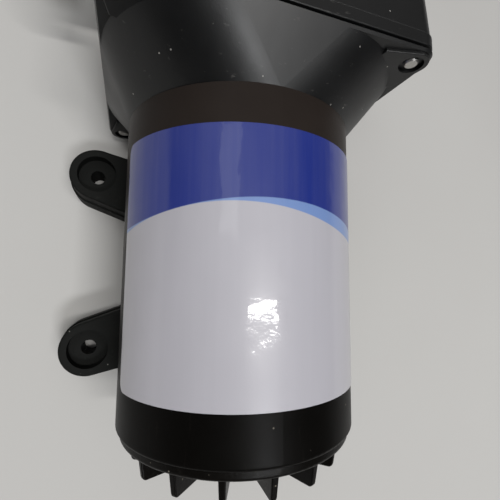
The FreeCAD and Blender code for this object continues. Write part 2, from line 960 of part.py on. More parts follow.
def corner_pad():
    # raised pad around one screw, in the upper right corner
    start = head_half - pad_length
    start_out = head_half - pad_start_inset
    end = corner_screw
    end_out = head_half - pad_end_inset
    middle = corner_screw + (end_out - corner_screw) / math.sqrt(2.0)
    inside = start - flare_wall

    def spot(x, z):
        return vec(x, pad_rear, axis_height + z)

    edges = [Part.LineSegment(spot(inside, inside), spot(start, start_out)).toShape(),
             Part.LineSegment(spot(start, start_out), spot(end, end_out)).toShape(),
             Part.Arc(spot(end, end_out), spot(middle, middle), spot(end_out, end)).toShape(),
             Part.LineSegment(spot(end_out, end), spot(start_out, start)).toShape(),
             Part.LineSegment(spot(start_out, start), spot(inside, inside)).toShape()]
    pad = Part.Face(Part.Wire(edges)).extrude(vec(0, lower_front - pad_rear, 0))
    return pad.makeFillet(pad_edge, edges_at(pad, pad_rear))


def corner_copies(shape):
    # a shape made for the upper right corner, mirrored into all four
    copies = []
    for flip_x in (False, True):
        for flip_z in (False, True):
            copy = shape.copy()
            if flip_x:
                copy = copy.mirror(vec(0, 0, axis_height), vec(1, 0, 0))
            if flip_z:
                copy = copy.mirror(vec(0, 0, axis_height), vec(0, 0, 1))
            copies.append(copy)
    return copies


def lower_housing():
    body = joined([flared(can_front, lower_front, 0.0), corner_flange()] + corner_copies(corner_pad()))
    body = body.cut(flared(can_front + rear_wall, lower_front + rear_wall, flare_wall))
    body = body.cut(rod(cam_hole, can_front, can_front + rear_wall))
    for x, z in corners(corner_screw):
        body = body.cut(rod(pocket_radius, pad_rear, pad_rear + pocket_depth, x, z))
        body = body.cut(rod(corner_screw_radius, pad_rear, lower_front, x, z))
    for x, z in motor_screw_places():
        body = body.cut(rod(motor_screw_radius + screw_clearance, can_front, can_front + rear_wall, x, z))
    return body


def motor_screws():
    screws = []
    head_rear = can_front + rear_wall
    for x, z in motor_screw_places():
        shank = rod(motor_screw_radius, plate_rear + thread_gap, head_rear, x, z)
        head = rod(motor_head_radius, head_rear, head_rear + motor_head_height, x, z)
        socket = rod(motor_head_radius * socket_share, head_rear + motor_head_height * socket_share,
                     head_rear + motor_head_height, x, z)
        screws.append(joined([shank, head]).cut(socket))
    return group(screws)


# Wobble drive, built square to the motor axis and then leaned with the cam

def bearing_front_y():
    return lower_front - wobble_drop - bearing_lip


def cam():
    front = bearing_front_y()
    rear = front - cam_bearing_width
    hub = rod(cam_radius, cam_rear, rear - cam_hub_gap)
    shoulder = tilted(rod(journal_radius + cam_bearing_wall, rear - cam_shoulder, rear))
    journal = tilted(rod(journal_radius, rear - root, front))
    body = joined([hub, shoulder, journal])
    body = body.cut(rod(shaft_radius, cam_rear - cut_over, shaft_front))
    return body.cut(rod_z(set_screw_radius, axis_height, axis_height + cam_radius + cut_over, 0, set_screw_y))


def cam_set_screw():
    top = axis_height + cam_radius - set_screw_inset
    body = rod_z(set_screw_radius, axis_height, top, 0, set_screw_y)
    body = body.cut(rod_z(set_screw_radius * socket_share, top - set_screw_socket, top, 0, set_screw_y))
    return body.cut(rod(shaft_radius, cam_rear - cut_over, shaft_front))


def cam_bearing_inner():
    front = bearing_front_y()
    return tilted(ring(journal_radius + cam_bearing_wall, journal_radius, front - cam_bearing_width, front))


def cam_bearing():
    front = bearing_front_y()
    outer = ring(cam_bearing_radius, cam_bearing_radius - cam_bearing_wall, front - cam_bearing_width, front)
    pitch = (journal_radius + cam_bearing_radius) / 2.0
    balls = ball_set(pitch, cam_bearing_ball, cam_bearing_balls, front - cam_bearing_width / 2.0)
    return group([tilted(s) for s in [outer] + balls])


def wobble_plate():
    front = lower_front - wobble_drop
    rear = bearing_front_y() - cam_bearing_width
    hub = rod(cam_bearing_radius + wobble_hub_wall, rear, front)
    parts = [hub]
    for i in range(4):
        arm = axis_block((-arm_width / 2, arm_width / 2),
                         (lower_front - piston_thickness, lower_front - arm_drop),
                         (cam_bearing_radius + root / 2.0, piston_distance))
        parts.append(turned(arm, 45.0 + 90.0 * i))
    for x, z in corners(piston_offset):
        parts.append(rod(piston_radius, lower_front - piston_thickness, lower_front, x, z))
    body = joined(parts)
    body = body.cut(rod(cam_bearing_radius, rear, bearing_front_y()))
    body = body.cut(rod(cam_bearing_radius - cam_bearing_wall + bearing_lip_gap, rear, front + cut_over))
    for x, z in corners(piston_offset):
        body = body.cut(rod(piston_screw_radius, lower_front - piston_screw_bite, lower_front, x, z))
    return tilted(body)


def piston_retainers():
    retainers = []
    rear = lower_front + diaphragm_thickness
    front = rear + retainer_thickness
    for x, z in corners(piston_offset):
        disc = rod(retainer_radius, rear, front, x, z)
        disc = disc.makeFillet(retainer_rounding, circles_at(disc, front))
        disc = disc.cut(rod(piston_screw_radius, rear, front, x, z))
        retainers.append(tilted(disc.cut(screw_head_cone(x, z, front))))
    return group(retainers)


def screw_head_cone(x, z, front):
    depth = piston_head_radius - piston_screw_radius
    return Part.makeCone(piston_screw_radius, piston_head_radius, depth,
                         vec(x, front - depth, axis_height + z), vec(0, 1, 0))


def piston_screws():
    screws = []
    front = lower_front + diaphragm_thickness + retainer_thickness
    for x, z in corners(piston_offset):
        shank = rod(piston_screw_radius, lower_front - piston_screw_bite, front - piston_socket_depth, x, z)
        screw = joined([shank, screw_head_cone(x, z, front)])
        socket = rod(piston_socket_radius, front - piston_socket_depth, front, x, z)
        screws.append(tilted(screw.cut(socket)))
    return group(screws)


def diaphragm_cup(x, z):
    # one rolled ring from the flat sheet to the leaned centre disc, with that disc
    def circle(radius, y, leaned):
        wire = Part.Wire([Part.makeCircle(radius, vec(x, y, axis_height + z), vec(0, 1, 0))])
        return tilted(wire) if leaned else wire

    far = lower_front + (chamber_radius if z > 0 else -chamber_radius)

    def stack(y):
        straight = rod(convolution_radius, min(far, y), max(far, y), x, z)
        skirt = Part.makeLoft([circle(convolution_radius, y, False), circle(centre_radius, y, True)],
                              True, True)
        return straight.fuse(skirt)

    rear = stack(lower_front)
    front = stack(sheet_front)
    cup = rear.cut(front) if z > 0 else front.cut(rear)
    return cup


def diaphragm():
    # the pump's rubber sheet, at the rest position of the cam
    half = head_half - diaphragm_inset
    sheet = rounded(half, half, head_corner, lower_front, sheet_front)
    for x, z in corners(corner_screw):
        sheet = sheet.cut(rod(corner_screw_radius + screw_clearance, lower_front, sheet_front, x, z))
    for x, z in corners(piston_offset):
        sheet = sheet.cut(rod(convolution_radius, lower_front, sheet_front, x, z))
    body = joined([sheet] + [diaphragm_cup(x, z) for x, z in corners(piston_offset)])
    for x, z in corners(piston_offset):
        screw_way = rod(piston_screw_radius, lower_front - cut_over, sheet_front + cut_over, x, z)
        body = body.cut(tilted(screw_way))
    return body


# Valve housing and valves

def inlet_places():
    return corners(inlet_offset)


def valve_housing():
    band = rounded(head_half, head_half, head_corner, band_rear, band_front)
    band = band.makeFillet(soft_edge, edges_at(band, band_rear) + edges_at(band, band_front))
    inner = rounded(block_half, block_half, block_corner, band_front, roof_front)
    body = joined([band, inner])
    pocket_half = head_half - diaphragm_inset + diaphragm_gap
    body = body.cut(rounded(pocket_half, pocket_half, head_corner, band_rear, sheet_front))
    for x, z in corners(piston_offset):
        body = body.cut(rod(chamber_radius, sheet_front, roof_inside, x, z))
    for x, z in inlet_places():
        body = body.cut(rod(stem_radius + fit_gap, roof_inside, roof_front, x, z))
        for i in range(inlet_hole_count):
            a = 2 * math.pi * i / inlet_hole_count
            body = body.cut(rod(inlet_hole, roof_inside, roof_front, x + inlet_hole_ring * math.cos(a),
                                z + inlet_hole_ring * math.sin(a)))
    for i in range(4):
        for step in (-1, 0, 1):
            a = math.radians(45.0 + 90.0 * i) + step * outlet_hole_spacing / outlet_hole_ring
            body = body.cut(rod(outlet_hole, roof_inside, roof_front, outlet_hole_ring * math.cos(a),
                                outlet_hole_ring * math.sin(a)))
    body = body.cut(rod(outlet_stem_radius + fit_gap, roof_front - outlet_stem_length, roof_front))
    for x, z in corners(corner_screw):
        body = body.cut(rod(corner_screw_radius + screw_clearance, band_rear, band_front, x, z))
    return body


def inlet_valves():
    flaps = []
    for x, z in inlet_places():
        disc = rod(flap_radius, roof_inside - flap_thickness, roof_inside, x, z)
        stem = rod(stem_radius, roof_inside - flap_thickness / 2.0, roof_front + bulb_length, x, z)
        bulb = rod(bulb_radius, roof_front, roof_front + bulb_length, x, z)
        flaps.append(joined([disc, stem, bulb]))
    return group(flaps)


def outlet_valve():
    disc = rod(outlet_valve_radius, roof_front, roof_front + outlet_valve_thickness)
    stem = rod(outlet_stem_radius, roof_front - outlet_stem_length + thread_gap,
               roof_front + outlet_valve_thickness / 2.0)
    crown = rod(outlet_crown_radius, roof_front, roof_front + outlet_valve_thickness * 2)
    body = joined([disc, stem, crown])
    for i in range(4):
        split = axis_block((-outlet_split / 2, outlet_split / 2),
                           (roof_front, roof_front + outlet_valve_thickness),
                           (outlet_split_start, outlet_valve_radius + cut_over))
        body = body.cut(turned(split, 90.0 * i))
    return body


def square_seal():
    # flat ring in its groove between the valve housing and the upper housing
    inner = seal_half - seal_width
    body = rounded(seal_half, seal_half, seal_corner, band_front, band_front + seal_thickness)
    return body.cut(rounded(inner, inner, seal_corner - seal_width, band_front,
                            band_front + seal_thickness))


def housing_seals():
    inner_ring = ring(divider_outer, divider_inner, roof_front, roof_front + seal_thickness)
    return group([inner_ring, square_seal()])


def corner_screws():
    screws = []
    tip = pad_rear + screw_tip_inset
    for x, z in corners(corner_screw):
        shank = rod(corner_screw_radius, tip, upper_front, x, z)
        shank = shank.makeChamfer(tip_chamfer, circles_at(shank, tip))
        head = rod(corner_head_radius, upper_front, upper_front + corner_head_height, x, z)
        head = head.makeFillet(head_rounding, circles_at(head, upper_front + corner_head_height))
        socket = rod(corner_head_radius * socket_share, upper_front + corner_head_height * socket_share,
                     upper_front + corner_head_height, x, z)
        screws.append(joined([shank, head]).cut(socket))
    return group(screws)


# Upper housing with its ports

def port_tube(side):
    start = side * (manifold_half_x - port_root)
    end = side * port_end
    tube = rod_x(port_radius, min(start, end), max(start, end), port_y)
    inner = side * (port_end - port_flange_thickness)
    flange = rod_x(port_flange_radius, min(inner, end), max(inner, end), port_y)
    flange = flange.makeFillet(soft_edge, [e for e in flange.Edges if isinstance(e.Curve, Part.Circle)])
    return tube.fuse(flange)


def gusset(x, side):
    # sloping rib between the square shoulder and the manifold
    shoulder = upper_half - gusset_inset
    end = manifold_front - gusset_end
    outline = [(upper_front - root, manifold_half_z - 2 * root), (upper_front - root, shoulder),
               (upper_front, shoulder), (end, manifold_half_z), (end, manifold_half_z - 2 * root)]
    points = [vec(x, y, axis_height + side * z) for y, z in outline]
    face = Part.Face(Part.makePolygon(points + points[:1]))
    face.translate(vec(-gusset_thickness / 2, 0, 0))
    return face.extrude(vec(gusset_thickness, 0, 0))


def upper_shell():
    # the square body leans in a little from the band to its front
    outlines = [rounded_outline(upper_rear_half, upper_corner, band_front),
                rounded_outline(upper_half, upper_corner, upper_front)]
    square = Part.makeLoft(outlines, True, True)
    square = square.makeFillet(upper_edge, edges_at(square, upper_front))
    square = square.makeFillet(soft_edge, edges_at(square, band_front))
    manifold = rounded(manifold_half_x, manifold_half_z, manifold_corner, upper_front - root, manifold_front)
    manifold = manifold.makeFillet(upper_edge, edges_at(manifold, manifold_front))
    boss = rod(switch_boss_radius, manifold_front - root, switch_rear)
    gussets = [gusset(sx * x, side) for x in gusset_places for sx in (1, -1) for side in (1, -1)]
    return joined([square, manifold, boss] + gussets + [port_tube(1), port_tube(-1)])


def water_ways():
    cavity_half = block_half + block_gap
    cavity = rounded(cavity_half, cavity_half, block_corner, band_front, cavity_front)
    divider = ring(divider_outer, divider_inner, roof_front + seal_thickness, cavity_front)
    cavity = cavity.cut(divider)
    outlet = rod(outlet_bore, cavity_front - cut_over, manifold_front - outlet_bore_stop)
    switch_way = rod(switch_port, manifold_front - outlet_bore_stop - cut_over, switch_rear)
    switch_seat = rod(switch_diaphragm_radius + diaphragm_gap, switch_rear - switch_diaphragm_thickness,
                      switch_rear)
    inlet_duct = rod(inlet_duct_radius, cavity_front - cut_over, port_y, -inlet_duct_x)
    inlet_socket = rod_x(port_bore, -port_end, -port_end + port_depth, port_y)
    inlet_throat = rod_x(inlet_duct_radius, -port_end, -inlet_duct_x, port_y)
    outlet_socket = rod_x(port_bore, port_end - port_depth, port_end, port_y)
    valve_way = rod_x(valve_bore, seat_x, port_end, port_y)
    seat_way = rod_x(seat_bore, 0.0, port_end, port_y)
    return [cavity, square_seal(), outlet, switch_way, switch_seat, inlet_duct, inlet_socket, inlet_throat,
            outlet_socket, valve_way, seat_way]


def upper_housing():
    body = upper_shell().cut(water_ways())
    for x, z in corners(corner_screw):
        body = body.cut(rod(corner_screw_radius + screw_clearance, band_front, upper_front, x, z))
    for x, z in switch_screw_places():
        body = body.cut(rod(switch_screw_radius, manifold_front - switch_screw_bite, switch_rear, x, z))
    return body.removeSplitter()


# Check valve

def check_poppet():
    disc = rod_x(poppet_radius, seat_x, seat_x + poppet_thickness, port_y)
    stem = rod_x(poppet_stem, seat_x, seat_x + poppet_thickness + poppet_stem_length, port_y)
    nose = Part.makeCone(seat_bore / 2.0, seat_bore - nose_gap, nose_length,
                         vec(seat_x - nose_length, port_y, axis_height), vec(1, 0, 0))
    return joined([disc, stem, nose])


def check_spring():
    start = seat_x + poppet_thickness
    return coil(check_spring_radius, check_spring_wire, cage_x - start,
                vec(start, port_y, axis_height), vec(1, 0, 0))


def check_cage():
    body = rod_x(valve_bore, cage_x, cage_x + cage_thickness, port_y)
    body = body.cut(rod_x(poppet_stem + fit_gap, cage_x, cage_x + cage_thickness, port_y))
    opening_ring = (valve_bore + poppet_stem) / 2.0
    for i in range(cage_openings):
        a = 2 * math.pi * i / cage_openings
        body = body.cut(rod_x(cage_opening, cage_x, cage_x + cage_thickness,
                              port_y + opening_ring * math.cos(a), opening_ring * math.sin(a)))
    return body


# Port clips

def port_clip(side):
    # channel-shaped fork over the port flange, open at the bottom, with a thumb tab on top
    inner_lip_start = port_end - port_flange_thickness - clip_gap - clip_lip
    outer_end = port_end + clip_reach
    web_inner = port_flange_radius + clip_gap
    web_outer = web_inner + clip_wall
    x_range = (inner_lip_start, outer_end)

    def fork(radius, x_limits):
        # round top with straight sides going down, as a solid to add or to cut
        arch = rod_x(radius, x_limits[0], x_limits[1], port_y)
        legs = axis_block(x_limits, (port_y - radius, port_y + radius), (-clip_drop * 2, 0))
        return arch.fuse(legs)

    def soften(shape):
        ends = [e for e in shape.Edges if e.BoundBox.XLength < 1e-6]
        return shape.makeFillet(clip_edge, ends)

    body = fork(web_outer, x_range).removeSplitter()
    below = axis_block((0, 2 * port_end), (port_y - 2 * web_outer, port_y + 2 * web_outer),
                       (-3 * clip_drop, -clip_drop))
    body = soften(body.cut(below))
    tab = axis_block(x_range, (port_y - clip_tab_width / 2, port_y + clip_tab_width / 2),
                     (web_inner, web_outer + clip_tab_height))
    tab = soften(tab.makeFillet(clip_tab_corner, edges_along(tab, 0)))
    body = joined([body, tab])
    middle = (x_range[0] + x_range[1]) / 2.0
    for i in range(clip_ridges):
        x = middle + (i - (clip_ridges - 1) / 2.0) * clip_ridge_pitch
        groove = rod(clip_ridge_radius, port_y - clip_tab_width / 2, port_y + clip_tab_width / 2, x,
                     web_outer + clip_tab_height)
        body = body.cut(groove)
    flange_space = fork(web_inner, (inner_lip_start + clip_lip, outer_end - clip_lip))
    body = body.cut(flange_space)
    barrel_space = fork(port_radius + clip_gap, (inner_lip_start - cut_over, outer_end + cut_over))
    body = body.cut(barrel_space)
    if side < 0:
        body = body.mirror(vec(0, 0, 0), vec(1, 0, 0))
    return body


# Pressure switch

def switch_screw_places():
    return corners(switch_screw_x, switch_screw_z)


def switch_diaphragm():
    return rod(switch_diaphragm_radius, switch_rear - switch_diaphragm_thickness, switch_rear)


def switch_housing():
    body = rounded(switch_half_x, switch_half_z, switch_corner, switch_rear, switch_front)
    inner_x = switch_half_x - switch_wall
    inner_z = switch_half_z - switch_wall
    hollow = rounded(inner_x, inner_z, switch_corner - switch_wall, switch_rear + switch_floor, switch_front)
    for x, z in switch_screw_places():
        hollow = hollow.cut(rod(switch_screw_radius + post_wall, switch_rear, switch_front, x, z))
    body = body.cut(hollow)
    body = body.cut(rod(plunger_base_radius + plunger_gap, switch_rear, switch_rear + plunger_recess))
    body = body.cut(rod(plunger_radius + fit_gap, switch_rear, switch_rear + switch_floor))
    for x, z in switch_screw_places():
        body = body.cut(rod(switch_screw_radius + screw_clearance, switch_rear, switch_front, x, z))
    for x in (-terminal_spacing / 2, terminal_spacing / 2):
        body = body.cut(terminal_blank(x, fit_gap, -snap_bottom))
    return body


def switch_plunger():
    base = rod(plunger_base_radius, switch_rear, switch_rear + plunger_base_thickness)
    stem = rod(plunger_radius, switch_rear, collar_front)
    collar = rod(collar_radius, collar_rear, collar_front)
    tongue = axis_block((-tongue_width / 2, tongue_width / 2), (collar_rear, collar_front),
                        (-tongue_reach, 0))
    tip = rod(plunger_tip_radius, collar_rear, collar_front + plunger_tip_length)
    return joined([base, stem, collar, tongue, tip])


def switch_spring():
    return coil(switch_spring_radius, switch_spring_wire, switch_spring_length,
                vec(0, collar_front, axis_height), vec(0, 1, 0))


def snap_switch():
    front = snap_rear + snap_depth
    body = axis_block((-snap_half_x, snap_half_x), (snap_rear, front), (-snap_bottom, -snap_top))
    body = body.cut(rod(button_radius + fit_gap, snap_rear, front - button_floor, 0, button_z()))
    for x in (-terminal_spacing / 2, terminal_spacing / 2):
        body = body.cut(terminal_blank(x, 0.0, -snap_bottom + terminal_bite))
    return body


def button_z():
    return -(snap_top + snap_bottom) / 2.0


def snap_button():
    start = collar_front + button_gap
    return rod(button_radius, start, start + button_length, 0, button_z())


def terminal_blank(x, grow, top):
    middle = snap_rear + snap_depth / 2.0
    return axis_block((x - terminal_thickness / 2 - grow, x + terminal_thickness / 2 + grow),
                      (middle - terminal_width / 2 - grow, middle + terminal_width / 2 + grow),
                      (-terminal_reach, top))


def switch_terminals():
    tabs = []
    for x in (-terminal_spacing / 2, terminal_spacing / 2):
        tab = terminal_blank(x, 0.0, -snap_bottom + terminal_bite)
        middle = snap_rear + snap_depth / 2.0
        hole = rod_x(terminal_hole, x - terminal_thickness, x + terminal_thickness, middle,
                     -terminal_reach + terminal_hole_inset)
        tabs.append(tab.cut(hole))
    return group(tabs)


def switch_cover():
    plate = rounded(switch_half_x, switch_half_z, switch_corner, switch_front, cover_front)
    plate = plate.makeFillet(rim_rounding, edges_at(plate, cover_front))
    boss = rod(cover_boss_radius, switch_front, cover_front + cover_boss_height)
    boss = boss.makeFillet(head_rounding, circles_at(boss, cover_front + cover_boss_height))
    keeper = axis_block((-snap_half_x, snap_half_x), (snap_rear + snap_depth, switch_front + root / 2.0),
                        (-snap_bottom, -snap_top - keeper_gap))
    body = joined([plate, boss, keeper])
    body = body.cut(rod(adjuster_radius + adjuster_gap, switch_front - cut_over,
                        cover_front + cover_boss_height))
    for x, z in switch_screw_places():
        body = body.cut(rod(switch_screw_radius + screw_clearance, switch_front, cover_front, x, z))
    return body


def adjusting_screw():
    end = cover_front + cover_boss_height + adjuster_out
    body = rod(adjuster_radius, spring_front, end)
    body = body.makeChamfer(adjuster_chamfer, circles_at(body, end))
    points = []
    for i in range(7):
        a = math.pi / 3 * i
        z = axis_height + adjuster_socket * math.sin(a)
        points.append(vec(adjuster_socket * math.cos(a), end, z))
    socket = Part.Face(Part.makePolygon(points)).extrude(vec(0, -adjuster_socket_depth, 0))
    return body.cut(socket)


def switch_screws():
    screws = []
    for x, z in switch_screw_places():
        shank = rod(switch_screw_radius, manifold_front - switch_screw_bite + thread_gap, cover_front, x, z)
        head = rod(switch_head_radius, cover_front, cover_front + switch_head_height, x, z)
        top = cover_front + switch_head_height
        head = head.makeFillet(switch_head_rounding, circles_at(head, top))
        screw = joined([shank, head])
        for half_x, half_z in ((cross_reach, cross_half), (cross_half, cross_reach)):
            slot = axis_block((x - half_x, x + half_x), (top - cross_depth, top), (z - half_z, z + half_z))
            screw = screw.cut(slot)
        screws.append(screw)
    return group(screws)


parts = {
    "motor_can": motor_can(),
    "rear_cap": rear_cap(),
    "label": label(),
    "lead_gland": lead_gland(),
    "motor_front_plate": motor_front_plate(),
    "motor_tie_screws": motor_tie_screws(),
    "rear_bearing": shaft_bearing(bearing_rear()),
    "rear_bearing_inner_ring": shaft_bearing_inner(bearing_rear()),
    "front_bearing": shaft_bearing(front_bearing_rear()),
    "front_bearing_inner_ring": shaft_bearing_inner(front_bearing_rear()),
    "motor_shaft": motor_shaft(),
    "armature_core": armature_core(),
    "armature_windings": armature_windings(),
    "commutator": commutator(),
    "magnets": magnets(),
    "brush_plate": brush_plate(),
    "brush_holders": brush_holders(),
    "carbon_brushes": carbon_brushes(),
    "brush_springs": brush_springs(),
    "base_plate": base_plate(),
    "base_saddle": saddle(),
    "base_screws": base_screws(),
    "foot_front_left": foot(-1, 1),
    "foot_front_right": foot(1, 1),
    "foot_rear_left": foot(-1, -1),
    "foot_rear_right": foot(1, -1),
    "lower_housing": lower_housing(),
    "motor_screws": motor_screws(),
    "cam": cam(),
    "cam_set_screw": cam_set_screw(),
    "cam_bearing_inner_ring": cam_bearing_inner(),
    "cam_bearing": cam_bearing(),
    "wobble_plate": wobble_plate(),
    "piston_retainers": piston_retainers(),
    "piston_screws": piston_screws(),
    "diaphragm": diaphragm(),
    "valve_housing": valve_housing(),
    "inlet_valves": inlet_valves(),
    "outlet_valve": outlet_valve(),
    "housing_seals": housing_seals(),
    "corner_screws": corner_screws(),
    "upper_housing": upper_housing(),
    "check_poppet": check_poppet(),
    "check_spring": check_spring(),
    "check_cage": check_cage(),
    "inlet_clip": port_clip(-1),
    "outlet_clip": port_clip(1),
    "switch_diaphragm": switch_diaphragm(),
    "switch_housing": switch_housing(),
    "switch_plunger": switch_plunger(),
    "switch_spring": switch_spring(),
    "snap_switch": snap_switch(),
    "snap_button": snap_button(),
    "switch_terminals": switch_terminals(),
    "switch_cover": switch_cover(),
    "adjusting_screw": adjusting_screw(),
    "switch_screws": switch_screws(),
}

os.makedirs("parts", exist_ok=True)
for name, shape in parts.items():
    shape.exportStep("parts/" + name + ".step")
    row = (name, len(shape.Solids), shape.Volume, shape.isValid())
    print("%-26s solids %2d  volume %9.1f  valid %s" % row)
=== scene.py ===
import json
import math

import bpy
from mathutils import Matrix, Vector


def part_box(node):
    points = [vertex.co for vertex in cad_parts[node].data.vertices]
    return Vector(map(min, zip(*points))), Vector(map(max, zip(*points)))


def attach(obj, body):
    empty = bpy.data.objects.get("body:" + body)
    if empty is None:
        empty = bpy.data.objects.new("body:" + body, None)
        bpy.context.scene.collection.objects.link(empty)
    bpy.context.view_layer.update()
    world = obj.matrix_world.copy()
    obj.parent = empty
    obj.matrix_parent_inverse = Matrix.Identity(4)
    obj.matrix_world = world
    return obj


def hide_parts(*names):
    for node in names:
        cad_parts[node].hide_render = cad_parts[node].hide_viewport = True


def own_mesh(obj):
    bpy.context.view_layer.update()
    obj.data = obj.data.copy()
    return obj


# A water pressure pump on a pale floor. Metres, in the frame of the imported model: the origin is on
# the floor between the feet, X to the right, Y along the motor towards the head, Z up.
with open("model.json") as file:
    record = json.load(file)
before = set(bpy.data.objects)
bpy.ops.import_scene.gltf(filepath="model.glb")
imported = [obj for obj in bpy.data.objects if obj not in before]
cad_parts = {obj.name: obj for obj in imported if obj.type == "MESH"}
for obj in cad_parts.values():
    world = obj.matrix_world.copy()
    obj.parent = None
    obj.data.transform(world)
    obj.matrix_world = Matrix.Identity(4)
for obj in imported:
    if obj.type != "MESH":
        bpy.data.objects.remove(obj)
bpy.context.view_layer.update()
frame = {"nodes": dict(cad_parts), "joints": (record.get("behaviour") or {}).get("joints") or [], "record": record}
joints = {joint["name"]: joint for joint in frame["joints"]}
slot_of = {part["node"]: part["material_slot"] for part in frame["record"]["subparts"]}

# Places taken from the frame
axis_height = joints["rotor_spin"]["pos_m"][2]
label_low, label_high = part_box("label")

# The two inputs and the output that a Mix node uses, by the kind of its data
mix_sockets = {"RGBA": (6, 7, 2), "FLOAT": (2, 3, 0)}

# Most of a noise lies between these two
noise_low = 0.3
noise_high = 0.7

# Colors that drift between two tones
can_black = ((0.0022, 0.002, 0.0018), (0.0045, 0.0041, 0.0036))
# lighter brown of the can towards the head: painted light, not a second colour of the paint
can_painted_light = ((0.0175, 0.0136, 0.0118), (0.028, 0.0218, 0.019))
cap_black = ((0.0022, 0.0019, 0.0016), (0.0055, 0.0047, 0.004))
core_grey = ((0.16, 0.16, 0.17), (0.3, 0.3, 0.31))
wire_copper = ((0.38, 0.12, 0.045), (0.62, 0.24, 0.1))
label_field = ((0.47, 0.46, 0.505), (0.51, 0.5, 0.545))
label_stripe = ((0.17, 0.27, 0.55), (0.2, 0.31, 0.6))
label_blue = ((0.014, 0.027, 0.2), (0.02, 0.037, 0.25))
floor_grey = ((0.56, 0.55, 0.535), (0.6, 0.595, 0.58))

# Wear and dust, uneven ink and streaks of the label's film
paint_rub = (0.035, 0.03, 0.025)
cap_bloom = (0.045, 0.04, 0.033)
paint_dust = (0.16, 0.145, 0.12)
rubber_bloom = (0.05, 0.05, 0.046)
plastic_dust = (0.3, 0.29, 0.27)
light_ink = (0.025, 0.045, 0.28)
film_streak = (0.3, 0.3, 0.33)
black = (0.0, 0.0, 0.0)

# Share of a speck's radius inside which it covers the surface fully
speck_core = 0.6

# Thickness of one steel sheet of the core, with its gap
core_sheet = 0.0005

# Label artwork: places along the can are in metres, waves run around it
print_blur = 0.00012
wave_offset = 0.0085
wave_height = 0.0032
wave_phase = 1.7
wave_turns = 2.0
stripe_offset = 0.0066
stripe_height = 0.004
stripe_phase = 2.2

# Light of the room: bright towards bright_side, dark where the cosine to it is under dark_edge;
# horizon_top is the height of the plain band that reflections show above the floor
room_dark = 0.015
room_bright = 0.6
bright_side = (-0.25, 0.55, 0.8)
dark_edge = 0.45
horizon_top = 0.15
backdrop_strength = 0.55
backdrop_color = (1.0, 0.985, 0.965)

# Floor: half its side, and the distances from the pump between which it turns into the backdrop
floor_half = 4.0
fade_start = 0.22
fade_end = 0.6

# Lamps, a pair of ceiling tubes and a window: place, width and height, watts and color
lamps = {
    "tube": ((0.1, -0.122, 1.07), (0.46, 0.055), 4.5, (1.0, 0.985, 0.965)),
    "second_tube": ((0.18, -0.64, 1.15), (0.34, 0.16), 5.6, (0.97, 0.985, 1.0)),
    "window": ((-0.55, 0.45, 1.25), (0.45, 0.6), 1.2, (0.95, 0.98, 1.0)),
}

# Camera, as the photo was taken: close, above the motor and a little to the left; lens and sensor
# are in millimetres
camera_place = Vector((-0.03312, -0.00800, 0.15296))
camera_right = Vector((0.94073, 0.00955, 0.33900))
camera_up = Vector((-0.04204, 0.99518, 0.08863))
camera_back = Vector((-0.33652, -0.09763, 0.93660))
camera_lens = 24.14
camera_sensor = 36.0
camera_nearest = 0.005
camera_farthest = 20.0


class Graph:
    # a tree of nodes; every call returns a socket that the next call can use

    def __init__(self, tree):
        self.nodes = tree.nodes
        self.links = tree.links

    def feed(self, socket, value):
        if isinstance(value, bpy.types.NodeSocket):
            self.links.new(value, socket)
        elif isinstance(value, tuple) and len(value) == 3 and socket.type == "RGBA":
            socket.default_value = (*value, 1.0)
        else:
            socket.default_value = value

    def add(self, kind, inputs=None, **settings):
        node = self.nodes.new("ShaderNode" + kind)
        for key, value in settings.items():
            setattr(node, key, value)
        for key, value in (inputs or {}).items():
            self.feed(node.inputs[key], value)
        return node

    def calc(self, operation, first, second=0.0, third=0.0):
        node = self.add("Math", operation=operation)
        for socket, value in zip(node.inputs, (first, second, third)):
            self.feed(socket, value)
        return node.outputs[0]

    def spread(self, value, low, high, out_low=0.0, out_high=1.0, curve="LINEAR"):
        inputs = {"Value": value, "From Min": low, "From Max": high, "To Min": out_low, "To Max": out_high}
        return self.add("MapRange", inputs, interpolation_type=curve).outputs["Result"]

    def blend(self, share, first, second, kind="RGBA"):
        # from first to second, which are colors, or numbers where kind is FLOAT
        first_input, second_input, result = mix_sockets[kind]
        inputs = {0: share, first_input: first, second_input: second}
        return self.add("Mix", inputs, data_type=kind, clamp_factor=True).outputs[result]

    def seen_background(self, mirrored):
        # 1 where the camera looks at the background, also through glass, and mirrored in a reflection
        ray = self.add("LightPath").outputs
        straight = self.calc("MAXIMUM", ray["Is Camera Ray"], ray["Is Transmission Ray"])
        return self.calc("MAXIMUM", straight, self.calc("MULTIPLY", ray["Is Glossy Ray"], mirrored))


